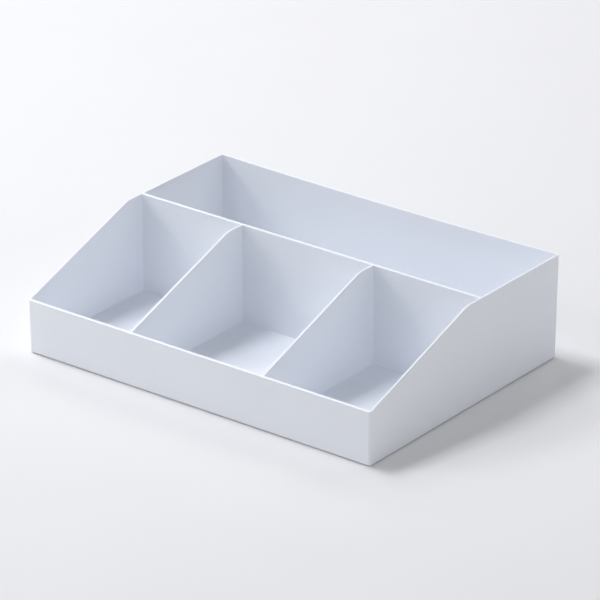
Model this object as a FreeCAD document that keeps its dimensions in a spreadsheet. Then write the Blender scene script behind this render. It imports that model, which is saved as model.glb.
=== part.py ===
import FreeCAD, Part
import Sketcher
import math
import os
import re

# Compartment storage case: a moulded tray standing on four round foot pads.
# X runs across the case, Y from its low front wall to its tall rear wall, Z up.
# The origin is on the surface that the case stands on, under the middle of the case.

# Driving sizes in millimetres, and one angle in degrees. Walls are measured at the rim.
SIZES = {
    # outside of the moulding
    "CaseWidth": 250.0,
    "CaseDepth": 183.5,
    "CaseHeight": 65.4,
    "FrontHeight": 33.3,
    "SlopeRun": 92.0,
    "SlopeRound": 20.0,
    "RearBow": 2.2,
    "OuterCorner": 1.5,
    "BaseRound": 0.5,
    "DraftAngle": 0.5,
    # walls and compartments
    "SideWall": 1.2,
    "FrontWall": 1.6,
    "RearWall": 1.2,
    "Partition": 2.0,
    "PartitionSetback": 105.9,
    "Divider": 1.2,
    "CentreCell": 95.0,
    "FloorThick": 1.9,
    "InnerCorner": 0.5,
    "FloorRound": 0.4,
    "RimRound": 0.3,
    # recess under the floor and the narrow rim left around it
    "BaseRecess": 1.0,
    "BaseRim": 2.0,
    # foot pads and their seats
    "FootWidth": 10.0,
    "FootThick": 2.0,
    "FootBevel": 0.4,
    "FootInset": 16.0,
    "SeatDepth": 0.4,
    "SeatClearance": 0.2,
    # mark of the moulding gate under the floor
    "GateDimple": 8.0,
    "GateDepth": 0.4,
    "GateNib": 2.0,
    "GateNibHeight": 0.2,
    # how far a cut runs past what it cuts
    "Overrun": 5.0,
}

# Places that follow from the sizes, as formulas for the sheet
DERIVED = {
    "Underside": "FootThick - SeatDepth - BaseRecess",
    "RimLevel": "Underside + CaseHeight",
    "RecessRoof": "Underside + BaseRecess",
    "FloorLevel": "RecessRoof + FloorThick",
    "FrontFace": "-CaseDepth / 2",
    "RearFace": "CaseDepth / 2",
    "BowRadius": "((CaseWidth / 2) ^ 2 + RearBow ^ 2) / (2 * RearBow)",
    "BowCentre": "RearFace - RearBow + BowRadius",
    "SlopeDrop": "CaseHeight - FrontHeight",
    "CellFront": "FrontFace + FrontWall",
    "PartitionFront": "FrontFace + PartitionSetback - Partition / 2",
    "PartitionRear": "PartitionFront + Partition",
    "CellSide": "CaseWidth / 2 - SideWall",
    "CentreSide": "CentreCell / 2",
    "OuterCellSide": "CentreSide + Divider",
    "RecessInset": "CaseHeight * tan(DraftAngle) + BaseRim",
    "RecessSide": "CaseWidth / 2 - RecessInset",
    "FootX": "CaseWidth / 2 - FootInset",
    "FootY": "CaseDepth / 2 - FootInset",
}

# The four pads: side of the case across X and along Y
FEET = {
    "foot_front_left": (-1, -1),
    "foot_front_right": (1, -1),
    "foot_rear_left": (-1, 1),
    "foot_rear_right": (1, 1),
}

NEAR_ZERO = 1e-4
UPRIGHT_SHARE = 0.99
FACING_UP_SHARE = 0.8


# The sheet of sizes

def make_sheet(doc):
    """Write every size and every derived place into its own named cell."""
    sheet = doc.addObject("Spreadsheet::Sheet", "Sizes")
    cells = [(name, str(value)) for name, value in SIZES.items()]
    cells += [(name, "=" + formula) for name, formula in DERIVED.items()]
    for row, (name, content) in enumerate(cells, start=1):
        sheet.set(f"A{row}", name)
        sheet.set(f"B{row}", content)
        sheet.setAlias(f"B{row}", name)
    doc.recompute()
    return sheet


def formula(text):
    """Point every size name in a formula, which starts with a capital, at the sheet."""
    return re.sub("[A-Z][A-Za-z]+", lambda word: "Sizes." + word.group(), text)


# Sketches and their dimensions

def number(owner, text):
    """Value of a formula, as a plain number."""
    value = owner.evalExpression(formula(text))
    return float(getattr(value, "Value", value))


def sketch_on(body, name, role, level=None):
    """Sketch on one of the body's own origin planes, raised to a level if one is given."""
    plane = next(item for item in body.Origin.OriginFeatures if item.Role == role)
    sketch = body.newObject("Sketcher::SketchObject", name)
    sketch.AttachmentSupport = [(plane, "")]
    sketch.MapMode = "FlatFace"
    if level:
        sketch.setExpression("AttachmentOffset.Base.z", formula(level))
    return sketch


def dimension(sketch, kind, geometry, point, text):
    """Fix a point of the sketch across (X) or along (Y) from its origin by a formula."""
    value = number(sketch, text)
    row = sketch.addConstraint(Sketcher.Constraint("Distance" + kind, -1, 1, geometry, point, value))
    sketch.setExpression(f"Constraints[{row}]", formula(text))


def chain(sketch, corners):
    """Closed outline of straight lines through the corners; returns its first line."""
    first = sketch.GeometryCount
    count = len(corners)
    for start, end in zip(corners, corners[1:] + corners[:1]):
        sketch.addGeometry(Part.LineSegment(start, end))
    for step in range(count):
        following = first + (step + 1) % count
        sketch.addConstraint(Sketcher.Constraint("Coincident", first + step, 2, following, 1))
    return first


def rectangle(sketch, left, right, near, far):
    """Closed rectangle whose four sides lie at the four formulas."""
    x_low, x_high, y_low, y_high = (number(sketch, text) for text in (left, right, near, far))
    corners = [(x_low, y_low), (x_high, y_low), (x_high, y_high), (x_low, y_high)]
    first = chain(sketch, [FreeCAD.Vector(x, y, 0) for x, y in corners])
    for line, direction in enumerate(("Horizontal", "Vertical", "Horizontal", "Vertical")):
        sketch.addConstraint(Sketcher.Constraint(direction, first + line))
    dimension(sketch, "X", first, 1, left)
    dimension(sketch, "Y", first, 1, near)
    dimension(sketch, "X", first + 2, 1, right)
    dimension(sketch, "Y", first + 2, 1, far)


def bowed_rectangle(sketch, left, right, near, radius):
    """Rectangle whose rear side is an arc about BowCentre that curves towards the front."""
    x_low, x_high, y_low, size = (number(sketch, text) for text in (left, right, near, radius))
    centre = FreeCAD.Vector(0, number(sketch, "BowCentre"), 0)
    swing = math.asin(x_high / size)
    rear = centre.y - size * math.cos(swing)
    places = [(x_low, rear), (x_low, y_low), (x_high, y_low), (x_high, rear)]
    corners = [FreeCAD.Vector(x, y, 0) for x, y in places]
    first = sketch.GeometryCount
    for start, end in zip(corners, corners[1:]):
        sketch.addGeometry(Part.LineSegment(start, end))
    circle_about = Part.Circle(centre, FreeCAD.Vector(0, 0, 1), size)
    arc = sketch.addGeometry(Part.ArcOfCircle(circle_about, -math.pi / 2 - swing, -math.pi / 2 + swing))
    side, front, other_side = first, first + 1, first + 2
    join = Sketcher.Constraint
    sketch.addConstraint([
        join("Coincident", side, 2, front, 1),
        join("Coincident", front, 2, other_side, 1),
        join("Coincident", other_side, 2, arc, 2),
        join("Coincident", arc, 1, side, 1),
        join("Vertical", side),
        join("Horizontal", front),
        join("Vertical", other_side),
        join("PointOnObject", arc, 3, -2),
    ])
    dimension(sketch, "X", side, 2, left)
    dimension(sketch, "Y", side, 2, near)
    dimension(sketch, "X", front, 2, right)
    dimension(sketch, "Y", arc, 3, "BowCentre")
    row = sketch.addConstraint(join("Radius", arc, size))
    sketch.setExpression(f"Constraints[{row}]", formula(radius))


def circle(sketch, diameter, across=None, along=None):
    """Circle of the given diameter about the sketch's origin, or about a dimensioned centre."""
    x = number(sketch, across) if across else 0
    y = number(sketch, along) if along else 0
    size = number(sketch, diameter)
    ring = sketch.addGeometry(Part.Circle(FreeCAD.Vector(x, y, 0), FreeCAD.Vector(0, 0, 1), size / 2))
    row = sketch.addConstraint(Sketcher.Constraint("Diameter", ring, size))
    sketch.setExpression(f"Constraints[{row}]", formula(diameter))
    if across:
        dimension(sketch, "X", ring, 3, across)
        dimension(sketch, "Y", ring, 3, along)
    else:
        sketch.addConstraint(Sketcher.Constraint("Coincident", ring, 3, -1, 1))


# Solid features

def extrude(body, kind, name, sketch, length, upwards):
    """Pad or pocket of a sketch, straight up or straight down."""
    feature = body.newObject("PartDesign::" + kind, name)
    feature.Profile = sketch
    feature.setExpression("Length", formula(length))
    feature.Reversed = upwards if kind == "Pocket" else not upwards
    sketch.Visibility = False
    body.Document.recompute()
    return feature


def draft_walls(body, name, narrows_upwards):
    """Lean every upright face by the mould's draft, turned about its line in the rim's plane."""
    base = body.Tip
    rim_level = number(body, "RimLevel")
    faces = list(enumerate(base.Shape.Faces, start=1))
    upright = [f"Face{row}" for row, face in faces if abs(middle_normal(face).z) < NEAR_ZERO]
    rim = next(f"Face{row}" for row, face in faces if abs(face.BoundBox.ZMin - rim_level) < NEAR_ZERO)
    feature = body.newObject("PartDesign::Draft", name)
    feature.Base = (base, upright)
    feature.NeutralPlane = (base, [rim])
    feature.Reversed = not narrows_upwards
    feature.setExpression("Angle", formula("DraftAngle"))
    body.Document.recompute()
    return feature


def middle_normal(face):
    """Outward direction of a face at the middle of its surface."""
    umin, umax, vmin, vmax = face.ParameterRange
    return face.normalAt((umin + umax) / 2, (vmin + vmax) / 2)


def treat_edges(body, kind, name, size, wanted):
    """Fillet or chamfer of every edge of the body so far that passes the test."""
    base = body.Tip
    edges = [f"Edge{row}" for row, edge in enumerate(base.Shape.Edges, start=1) if wanted(edge)]
    feature = body.newObject("PartDesign::" + kind, name)
    feature.Base = (base, edges)
    feature.setExpression("Radius" if kind == "Fillet" else "Size", formula(size))
    body.Document.recompute()
    return feature


def round_edges(body, name, radius, wanted):
    """Fillet of every edge of the body so far that passes the test."""
    return treat_edges(body, "Fillet", name, radius, wanted)


def is_upright(edge):
    """True for an edge that runs nearly along Z, as the drafted corners do."""
    start, end = edge.Vertexes[0].Point, edge.Vertexes[-1].Point
    run = end - start
    return run.Length > NEAR_ZERO and abs(run.z) > UPRIGHT_SHARE * run.Length


def lies_at(edge, level):
    """True where the whole edge lies at one level."""
    box = edge.BoundBox
    return abs(box.ZMin - level) < NEAR_ZERO and abs(box.ZMax - level) < NEAR_ZERO


# The moulded tray

def slope_profile(sketch):
    """Side view of what is cut off the top: front slope, round shoulder, then the flat rim.

    The slope starts at the front wall's outer top edge and would meet the rim at SlopeRun,
    where an arc turns it level.
    """
    draft_shift = "SlopeDrop * tan(DraftAngle)"
    foot = FreeCAD.Vector(number(sketch, "FrontFace + " + draft_shift),
                          number(sketch, "RimLevel - SlopeDrop"), 0)
    crest = FreeCAD.Vector(number(sketch, "FrontFace + SlopeRun"), number(sketch, "RimLevel"), 0)
    radius = number(sketch, "SlopeRound")
    overrun = number(sketch, "Overrun")
    rise = (crest - foot).normalize()
    tilt = FreeCAD.Vector(1, 0, 0).getAngle(rise)
    tangent = radius * math.tan(tilt / 2)
    shoulder_end = crest + FreeCAD.Vector(tangent, 0, 0)
    centre = shoulder_end - FreeCAD.Vector(0, radius, 0)
    shoulder_start = crest - rise * tangent
    low_end = foot - rise * overrun
    top = crest.y + overrun

    slope = sketch.addGeometry(Part.LineSegment(low_end, shoulder_start))
    upwards = FreeCAD.Vector(0, 0, 1)
    circle_about = Part.Circle(centre, upwards, radius)
    shoulder = sketch.addGeometry(Part.ArcOfCircle(circle_about, math.pi / 2, math.pi / 2 + tilt))
    rear = sketch.addGeometry(Part.LineSegment(shoulder_end, FreeCAD.Vector(shoulder_end.x, top, 0)))
    lid = sketch.addGeometry(Part.LineSegment(FreeCAD.Vector(shoulder_end.x, top, 0),
                                              FreeCAD.Vector(low_end.x, top, 0)))
    front = sketch.addGeometry(Part.LineSegment(FreeCAD.Vector(low_end.x, top, 0), low_end))
    foot_point = sketch.addGeometry(Part.Point(foot), True)
    crest_point = sketch.addGeometry(Part.Point(crest), True)
    level = sketch.addGeometry(Part.LineSegment(crest, shoulder_end), True)

    join = Sketcher.Constraint
    sketch.addConstraint([
        join("Tangent", slope, 2, shoulder, 2),
        join("Coincident", shoulder, 1, rear, 1),
        join("Coincident", rear, 2, lid, 1),
        join("Coincident", lid, 2, front, 1),
        join("Coincident", front, 2, slope, 1),
        join("Vertical", rear),
        join("Horizontal", lid),
        join("Vertical", front),
        join("PointOnObject", foot_point, 1, slope),
        join("PointOnObject", crest_point, 1, slope),
        join("Coincident", level, 1, crest_point, 1),
        join("Horizontal", level),
        join("Tangent", level, 2, shoulder, 1),
    ])
    round_row = sketch.addConstraint(join("Radius", shoulder, radius))
    sketch.setExpression(f"Constraints[{round_row}]", formula("SlopeRound"))
    dimension(sketch, "X", foot_point, 1, "FrontFace + " + draft_shift)
    dimension(sketch, "Y", foot_point, 1, "RimLevel - SlopeDrop")
    dimension(sketch, "X", crest_point, 1, "FrontFace + SlopeRun")
    dimension(sketch, "Y", crest_point, 1, "RimLevel")
    dimension(sketch, "X", front, 2, "FrontFace - Overrun")
    dimension(sketch, "Y", lid, 1, "RimLevel + Overrun")


def make_tray(doc):
    """The one-piece moulding: drafted shell, rear compartment, three front compartments."""
    body = doc.addObject("PartDesign::Body", "case_tray")
    body.Label = "case_tray"

    # drafted block, wider at the rim than at the underside
    outline = sketch_on(body, "RimOutline", "XY_Plane", "RimLevel")
    bowed_rectangle(outline, "-CaseWidth / 2", "CaseWidth / 2", "FrontFace", "BowRadius")
    extrude(body, "Pad", "Block", outline, "CaseHeight", False)
    draft_walls(body, "OuterDraft", False)
    round_edges(body, "OuterCorners", "OuterCorner", is_upright)
    underside = number(body, "Underside")
    round_edges(body, "BaseEdge", "BaseRound", lambda edge: lies_at(edge, underside))

    # compartments, wider at the rim than at the floor
    rear_cell = sketch_on(body, "RearCompartment", "XY_Plane", "RimLevel")
    bowed_rectangle(rear_cell, "-CellSide", "CellSide", "PartitionRear", "BowRadius + RearWall")
    extrude(body, "Pocket", "RearHollow", rear_cell, "RimLevel - FloorLevel", False)
    front_cells = sketch_on(body, "FrontCompartments", "XY_Plane", "RimLevel")
    rectangle(front_cells, "-CellSide", "-OuterCellSide", "CellFront", "PartitionFront")
    rectangle(front_cells, "-CentreSide", "CentreSide", "CellFront", "PartitionFront")
    rectangle(front_cells, "OuterCellSide", "CellSide", "CellFront", "PartitionFront")
    extrude(body, "Pocket", "FrontHollows", front_cells, "RimLevel - FloorLevel", False)
    draft_walls(body, "InnerDraft", True)

    floor = number(body, "FloorLevel")

    def rises_from_floor(edge):
        return is_upright(edge) and abs(edge.BoundBox.ZMin - floor) < NEAR_ZERO

    round_edges(body, "InnerCorners", "InnerCorner", rises_from_floor)
    round_edges(body, "FloorEdges", "FloorRound", lambda edge: lies_at(edge, floor))

    # front slope, cut across the side walls, the dividers and the front wall alike
    profile = sketch_on(body, "SlopeProfile", "YZ_Plane")
    slope_profile(profile)
    slope = extrude(body, "Pocket", "FrontSlope", profile, "CaseWidth + Overrun", False)
    slope.SideType = "Symmetric"
    doc.recompute()

    # rim, rounded along both edges of every wall
    low_rim = number(body, "RimLevel - SlopeDrop")
    rim_faces = [face for face in slope.Shape.Faces if is_rim(face, low_rim)]
    shared = [edge.hashCode() for face in rim_faces for edge in face.Edges]
    outline_codes = {code for code in shared if shared.count(code) == 1}
    round_edges(body, "RimEdges", "RimRound", lambda edge: edge.hashCode() in outline_codes)

    # recessed underside, with seats for the foot pads and the mark of the moulding gate
    recess = sketch_on(body, "UndersideRecess", "XY_Plane", "Underside")
    bowed_rectangle(recess, "-RecessSide", "RecessSide", "FrontFace + RecessInset", "BowRadius + RecessInset")
    extrude(body, "Pocket", "UndersideHollow", recess, "BaseRecess", True)
    seats = sketch_on(body, "FootSeats", "XY_Plane", "RecessRoof")
    for across, along in FEET.values():
        circle(seats, "FootWidth + SeatClearance", f"{across} * FootX", f"{along} * FootY")
    extrude(body, "Pocket", "FootSeatHollows", seats, "SeatDepth", True)
    dimple = sketch_on(body, "GateMark", "XY_Plane", "RecessRoof")
    circle(dimple, "GateDimple")
    extrude(body, "Pocket", "GateHollow", dimple, "GateDepth", True)
    nib = sketch_on(body, "GateStub", "XY_Plane", "RecessRoof + GateDepth")
    circle(nib, "GateNib")
    extrude(body, "Pad", "GateNibPad", nib, "GateNibHeight", False)
    return body


def is_rim(face, low_rim):
    """True for the faces along the top of the walls: flat rim, shoulders and slope."""
    return middle_normal(face).z > FACING_UP_SHARE and face.BoundBox.ZMax > low_rim + NEAR_ZERO


# The foot pads

def make_foot(doc, name, across, along):
    """Round silicone pad, turned about its own axis, flat on top and bevelled below."""
    body = doc.addObject("PartDesign::Body", name)
    body.Label = name
    section = sketch_on(body, "PadSection_" + name, "XZ_Plane")
    rectangle(section, "0", "FootWidth / 2", "0", "FootThick")
    turned = body.newObject("PartDesign::Revolution", "TurnedPad_" + name)
    turned.Profile = section
    turned.ReferenceAxis = (section, ["V_Axis"])
    section.Visibility = False
    doc.recompute()
    treat_edges(body, "Chamfer", "PadBevel_" + name, "FootBevel", lambda edge: lies_at(edge, 0))
    body.setExpression("Placement.Base.x", formula(f"{across} * FootX"))
    body.setExpression("Placement.Base.y", formula(f"{along} * FootY"))
    return body


# Build, check and write

def check(doc, bodies):
    """Stop if any feature failed or any piece isn't one valid solid."""
    for item in doc.Objects:
        if {"Invalid", "Error"} & set(item.State):
            raise RuntimeError(f"{item.Label}: {item.State}")
    for body in bodies:
        shape = body.Shape
        if shape.isNull() or not shape.isValid() or len(shape.Solids) != 1:
            raise RuntimeError(f"{body.Label} is not one valid solid")


def build():
    doc = FreeCAD.newDocument("storage_case")
    make_sheet(doc)
    bodies = [make_tray(doc)]
    bodies += [make_foot(doc, name, *sides) for name, sides in FEET.items()]
    doc.recompute()
    check(doc, bodies)
    os.makedirs("parts", exist_ok=True)
    for body in bodies:
        body.Shape.exportStep(f"parts/{body.Label}.step")
        box = body.Shape.BoundBox
        print(f"{body.Label}: volume {body.Shape.Volume:.1f}, z {box.ZMin:.2f} to {box.ZMax:.2f}")


build()
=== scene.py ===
import math

import bpy
from mathutils import Matrix, Vector

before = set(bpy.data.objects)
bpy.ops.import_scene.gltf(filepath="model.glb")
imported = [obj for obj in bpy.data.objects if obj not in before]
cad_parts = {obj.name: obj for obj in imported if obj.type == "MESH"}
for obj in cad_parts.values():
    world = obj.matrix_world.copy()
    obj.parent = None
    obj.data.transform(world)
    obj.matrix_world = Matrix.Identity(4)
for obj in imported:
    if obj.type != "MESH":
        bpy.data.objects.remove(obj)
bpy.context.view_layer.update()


# Case tray: the whole case is one injection moulding in white plastic with a faint cool
# tint. Its faces carry the fine satin grain of the mould, and a slight hollow shows where
# each inner wall meets the outside, because the plastic there shrinks as it cools.

def material_nodes(name):
    """New node material; returns it, its node tree and its Principled shader."""
    material = bpy.data.materials.new(name)
    material.use_nodes = True
    tree = material.node_tree
    return material, tree, tree.nodes["Principled BSDF"]


def node(tree, kind, settings=None, **inputs):
    """Node of a kind, with its settings, and its inputs as numbers or as links.

    An input goes by its name, with _ for a space, or by its place: i0, i1 and so on."""
    made = tree.nodes.new(kind)
    for setting, value in (settings or {}).items():
        setattr(made, setting, value)
    for label, value in inputs.items():
        by_place = label[1:].isdigit()
        socket = made.inputs[int(label[1:]) if by_place else label.replace("_", " ")]
        if isinstance(value, bpy.types.NodeSocket):
            tree.links.new(value, socket)
        else:
            socket.default_value = value
    return made


def math_node(tree, operation, first, second=0.0, third=0.0):
    """Sum, product or other operation on up to three values."""
    made = node(tree, "ShaderNodeMath", {"operation": operation}, i0=first, i1=second, i2=third)
    return made.outputs[0]


def new_group(name, inputs, outputs):
    """Empty shader group with named inputs, their resting values, and named outputs; returns
    the group, the sockets that bring its inputs in, and the sockets that take its outputs."""
    group = bpy.data.node_groups.new(name, "ShaderNodeTree")
    for label, (kind, value) in inputs.items():
        socket = group.interface.new_socket(label, in_out="INPUT", socket_type=kind)
        if value is not None:
            socket.default_value = value
    for label, kind in outputs.items():
        group.interface.new_socket(label, in_out="OUTPUT", socket_type=kind)
    given = group.nodes.new("NodeGroupInput").outputs
    result = group.nodes.new("NodeGroupOutput").inputs
    return group, given, result


def surface_grain_group():
    """Grain that a mould or a sheet leaves: fine pits, with slow waves under them. Sizes and
    depths are in millimetres. Cloud is the waves alone, from about -0.5 to 0.5."""
    group, given, result = new_group(
        "surface_grain",
        {"Place": ("NodeSocketVector", None), "Pit Size": ("NodeSocketFloat", 0.3),
         "Pit Depth": ("NodeSocketFloat", 0.002), "Wave Size": ("NodeSocketFloat", 30.0),
         "Wave Depth": ("NodeSocketFloat", 0.01)},
        {"Height": "NodeSocketFloat", "Cloud": "NodeSocketFloat"})
    millimetres = 1000.0
    pit_scale = math_node(group, "DIVIDE", millimetres, given["Pit Size"])
    wave_scale = math_node(group, "DIVIDE", millimetres, given["Wave Size"])
    pits = node(group, "ShaderNodeTexNoise", Vector=given["Place"], Scale=pit_scale, Detail=1.0)
    waves = node(group, "ShaderNodeTexNoise", Vector=given["Place"], Scale=wave_scale, Detail=2.0)
    pit_height = math_node(group, "MULTIPLY", pits.outputs[0], given["Pit Depth"])
    wave_height = math_node(group, "MULTIPLY", waves.outputs[0], given["Wave Depth"])
    group.links.new(math_node(group, "ADD", pit_height, wave_height), result["Height"])
    group.links.new(math_node(group, "SUBTRACT", waves.outputs[0], 0.5), result["Cloud"])
    return group


def sink_line_group():
    """Long shallow hollow along one line of a face, in millimetres."""
    group, given, result = new_group(
        "sink_line",
        {"Across": ("NodeSocketFloat", 0.0), "Line": ("NodeSocketFloat", 0.0),
         "Half Width": ("NodeSocketFloat", 1.5), "Depth": ("NodeSocketFloat", 0.02),
         "Where": ("NodeSocketFloat", 1.0)},
        {"Height": "NodeSocketFloat"})
    apart = math_node(group, "SUBTRACT", given["Across"], given["Line"])
    share = math_node(group, "DIVIDE", apart, given["Half Width"])
    spread = math_node(group, "MULTIPLY", math_node(group, "MULTIPLY", share, share), -1.0)
    hollow = math_node(group, "MULTIPLY", math_node(group, "EXPONENT", spread), given["Depth"])
    shown = math_node(group, "MULTIPLY", hollow, given["Where"])
    group.links.new(math_node(group, "MULTIPLY", shown, -1.0), result["Height"])
    return group


def scaled(tree, vector, factor):
    """Vector or colour times a number."""
    made = node(tree, "ShaderNodeVectorMath", {"operation": "SCALE"}, i0=vector, Scale=factor)
    return made.outputs[0]


def tinted(tree, base, cloud, share):
    """Base colour, made lighter and darker by a share of the cloud value."""
    return scaled(tree, base, math_node(tree, "MULTIPLY_ADD", cloud, share, 1.0))


def grained_surface(tree, shader, height, color):
    """Bumps from a height in millimetres, and a colour that changes over the surface."""
    bump = node(tree, "ShaderNodeBump", Strength=1.0, Distance=0.001, Height=height)
    tree.links.new(bump.outputs[0], shader.inputs["Normal"])
    tree.links.new(color, shader.inputs["Base Color"])


surface_grain = surface_grain_group()
sink_line = sink_line_group()

case_color = (0.895, 0.925, 0.98)
case_roughness, roughness_change = 0.5, 0.12
case_plastic, tree, shader = material_nodes("case_plastic_satin")
place = node(tree, "ShaderNodeTexCoord").outputs["Object"]
axes = node(tree, "ShaderNodeSeparateXYZ", i0=scaled(tree, place, 1000.0)).outputs
grain = node(tree, "ShaderNodeGroup", {"node_tree": surface_grain}, Place=place,
             Pit_Size=0.35, Pit_Depth=0.004, Wave_Size=28.0, Wave_Depth=0.02)

# the outside of the front and side walls, the underside, and its part in front of the
# partition, each found by a plane just inside that face, in millimetres
front_plane, side_plane, floor_plane, partition_front = -90.0, 124.1, 1.8, 14.0
from_centre = math_node(tree, "ABSOLUTE", axes["X"])
front_outside = math_node(tree, "LESS_THAN", axes["Y"], front_plane)
side_outside = math_node(tree, "GREATER_THAN", from_centre, side_plane)
underside = math_node(tree, "LESS_THAN", axes["Z"], floor_plane)
front_part = math_node(tree, "LESS_THAN", axes["Y"], partition_front)
below_front = math_node(tree, "MULTIPLY", underside, front_part)

# the middles of the dividers and the partition, which show through as slight hollows
divider_line, partition_line = 48.1, 14.15
height = grain.outputs["Height"]
for across, line, where in ((from_centre, divider_line, front_outside),
                            (axes["Y"], partition_line, side_outside),
                            (from_centre, divider_line, below_front),
                            (axes["Y"], partition_line, underside)):
    sink = node(tree, "ShaderNodeGroup", {"node_tree": sink_line},
                Across=across, Line=line, Where=where)
    height = math_node(tree, "ADD", height, sink.outputs["Height"])
cloud = grain.outputs["Cloud"]
grained_surface(tree, shader, height, tinted(tree, case_color, cloud, share=0.02))
roughness = math_node(tree, "MULTIPLY_ADD", cloud, roughness_change, case_roughness)
tree.links.new(roughness, shader.inputs["Roughness"])
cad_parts["case_tray"].material_slots[0].material = case_plastic


# Foot pads: four round pads of clear grey silicone, stuck into shallow seats in the
# underside, so that the case stands just off the table and doesn't slide.
silicone_color = (0.62, 0.64, 0.67)
foot_silicone, tree, shader = material_nodes("foot_silicone_clear")
place = node(tree, "ShaderNodeTexCoord").outputs["Object"]
grain = node(tree, "ShaderNodeGroup", {"node_tree": surface_grain}, Place=place,
             Pit_Size=0.2, Pit_Depth=0.002, Wave_Size=4.0, Wave_Depth=0.01)
grained_surface(tree, shader, grain.outputs["Height"],
                tinted(tree, silicone_color, grain.outputs["Cloud"], share=0.06))
shader.inputs["Roughness"].default_value = 0.3
shader.inputs["IOR"].default_value = 1.41
shader.inputs["Transmission Weight"].default_value = 0.4
for name in ("foot_front_left", "foot_front_right", "foot_rear_left", "foot_rear_right"):
    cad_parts[name].material_slots[0].material = foot_silicone


# Table: a plain pale sheet of matt paper that runs far past the view on every side. Where
# the lamps no longer reach, it glows to the camera, in reflections and through clear parts
# alone, as bright as the pale air beyond it, so that it stays pale without lighting things.

def seen_or_mirrored(tree):
    """1 for rays from the camera, from reflections and through clear parts, 0 for the rest."""
    rays = node(tree, "ShaderNodeLightPath").outputs
    either = math_node(tree, "MAXIMUM", rays["Is Camera Ray"], rays["Is Glossy Ray"])
    return math_node(tree, "MAXIMUM", either, rays["Is Transmission Ray"])


table_size = 12.0
table_color = (0.848, 0.848, 0.858)
# how far from the middle the glow starts and is full, and how bright it and the air are
glow_start, glow_full = 0.5, 3.0
air_brightness = 0.75
bpy.ops.mesh.primitive_plane_add(size=table_size, location=(0.0, 0.0, 0.0))
table = bpy.context.active_object
table.name = "table_sheet"
table_paper, tree, shader = material_nodes("table_paper_pale")
place = node(tree, "ShaderNodeTexCoord").outputs["Object"]
grain = node(tree, "ShaderNodeGroup", {"node_tree": surface_grain}, Place=place,
             Pit_Size=0.6, Pit_Depth=0.01, Wave_Size=60.0, Wave_Depth=0.0)
grained_surface(tree, shader, grain.outputs["Height"],
                tinted(tree, table_color, grain.outputs["Cloud"], share=0.02))
shader.inputs["Roughness"].default_value = 0.9
from_middle = node(tree, "ShaderNodeVectorMath", {"operation": "LENGTH"}, i0=place)
far = node(tree, "ShaderNodeMapRange", {"interpolation_type": "SMOOTHSTEP"},
           Value=from_middle.outputs["Value"], From_Min=glow_start, From_Max=glow_full,
           To_Min=0.0, To_Max=air_brightness)
glow = math_node(tree, "MULTIPLY", far.outputs[0], seen_or_mirrored(tree))
glow_color = node(tree, "ShaderNodeCombineXYZ", X=glow, Y=glow, Z=glow)
tree.links.new(glow_color.outputs[0], shader.inputs["Emission Color"])
shader.inputs["Emission Strength"].default_value = 1.0
table.data.materials.append(table_paper)


# Light: a soft box high on the left, three weaker ones beside it, and five pale walls that
# throw light back from all round. The two highest boxes and the front wall are a little
# cool, and the left and right walls are faintly warm.
lamp_distance = 2.0


def soft_box(name, around, above, width, height, power, color):
    """Lamp aimed at the case: its bearing from +X towards +Y and its elevation in degrees,
    its size in metres and its power in watts."""
    bearing, lift = math.radians(around), math.radians(above)
    level = math.cos(lift)
    direction = Vector((math.cos(bearing) * level, math.sin(bearing) * level, math.sin(lift)))
    data = bpy.data.lights.new(name, "AREA")
    data.shape = "RECTANGLE"
    data.size = width
    data.size_y = height
    data.energy = power
    data.color = color
    lamp = bpy.data.objects.new(name, data)
    lamp.location = direction * lamp_distance
    lamp.rotation_mode = "QUATERNION"
    lamp.rotation_quaternion = direction.to_track_quat("Z", "Y")
    bpy.context.scene.collection.objects.link(lamp)


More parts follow.
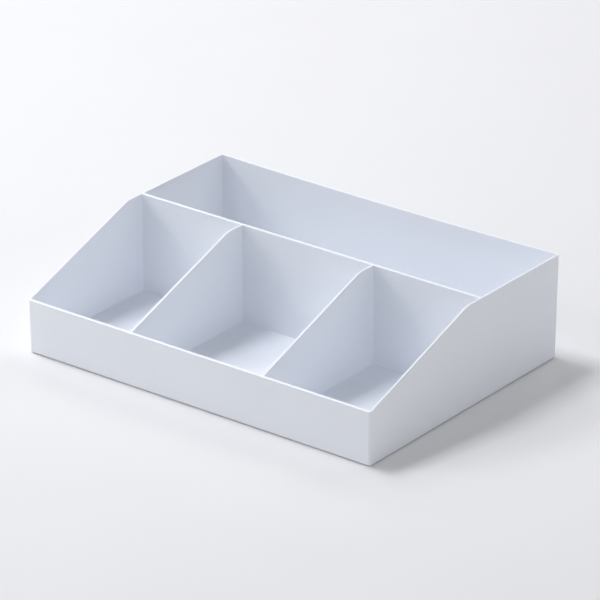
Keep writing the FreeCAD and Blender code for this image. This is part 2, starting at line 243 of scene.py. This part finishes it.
soft_box("key_box", 187.5, 66.0, 0.5, 0.55, 18.8, (0.945, 0.95, 0.99))
soft_box("left_box", 165.0, 50.0, 0.5, 0.5, 5.75, (0.955, 0.96, 0.99))
soft_box("rear_left_box", 140.0, 35.0, 0.5, 0.5, 4.4, (1.0, 1.0, 1.0))
soft_box("front_left_box", 215.0, 35.0, 0.5, 0.5, 4.7, (1.0, 1.0, 1.0))
soft_box("left_wall", 225.0, 20.0, 1.2, 1.2, 7.8, (1.0, 0.99, 0.96))
soft_box("right_wall", 9.0, 20.0, 1.9, 1.2, 8.35, (1.0, 0.99, 0.97))
soft_box("rear_wall", 90.0, 45.0, 1.2, 1.2, 8.1, (1.0, 1.0, 1.0))
soft_box("front_wall", 315.0, 45.0, 1.2, 1.2, 5.1, (0.90, 0.93, 1.0))
soft_box("low_front_wall", 270.0, 20.0, 1.2, 1.2, 2.4, (1.0, 1.0, 1.0))

# pale air beyond the table, seen by the camera, in reflections and through clear parts alone
world = bpy.data.worlds.new("studio_air")
world.use_nodes = True
air = world.node_tree
air.nodes["Background"].inputs["Color"].default_value = (1.0, 1.0, 1.0, 1.0)
air.links.new(math_node(air, "MULTIPLY", seen_or_mirrored(air), air_brightness),
              air.nodes["Background"].inputs["Strength"])
bpy.context.scene.world = world


# Camera: a long lens from the front right, looking down at the case. Its bearing is measured
# from straight in front of the case towards the right. It aims a little to the right of and
# above a point near the case's middle, because the case stands low and left in the picture.
bearing, lift = math.radians(37.497), math.radians(24.416)
camera_distance = 2.6994
near_middle = Vector((0.0, -0.01675, 0.031))
aim_right, aim_up = 0.01447, 0.009417
level = math.cos(lift)
camera_back = Vector((math.sin(bearing) * level, -math.cos(bearing) * level, math.sin(lift)))
camera_right = Vector((math.cos(bearing), math.sin(bearing), 0.0))
camera_up = camera_back.cross(camera_right)
aim = near_middle + camera_right * aim_right + camera_up * aim_up
camera_data = bpy.data.cameras.new("photo_camera")
camera_data.sensor_width = 36.0
camera_data.lens = 278.60
camera_data.clip_end = 50.0
camera = bpy.data.objects.new("photo_camera", camera_data)
turn = Matrix((camera_right, camera_up, camera_back)).transposed().to_4x4()
camera.matrix_world = Matrix.Translation(aim + camera_back * camera_distance) @ turn
bpy.context.scene.collection.objects.link(camera)
bpy.context.scene.camera = camera

bpy.context.scene.view_settings.view_transform = "Standard"
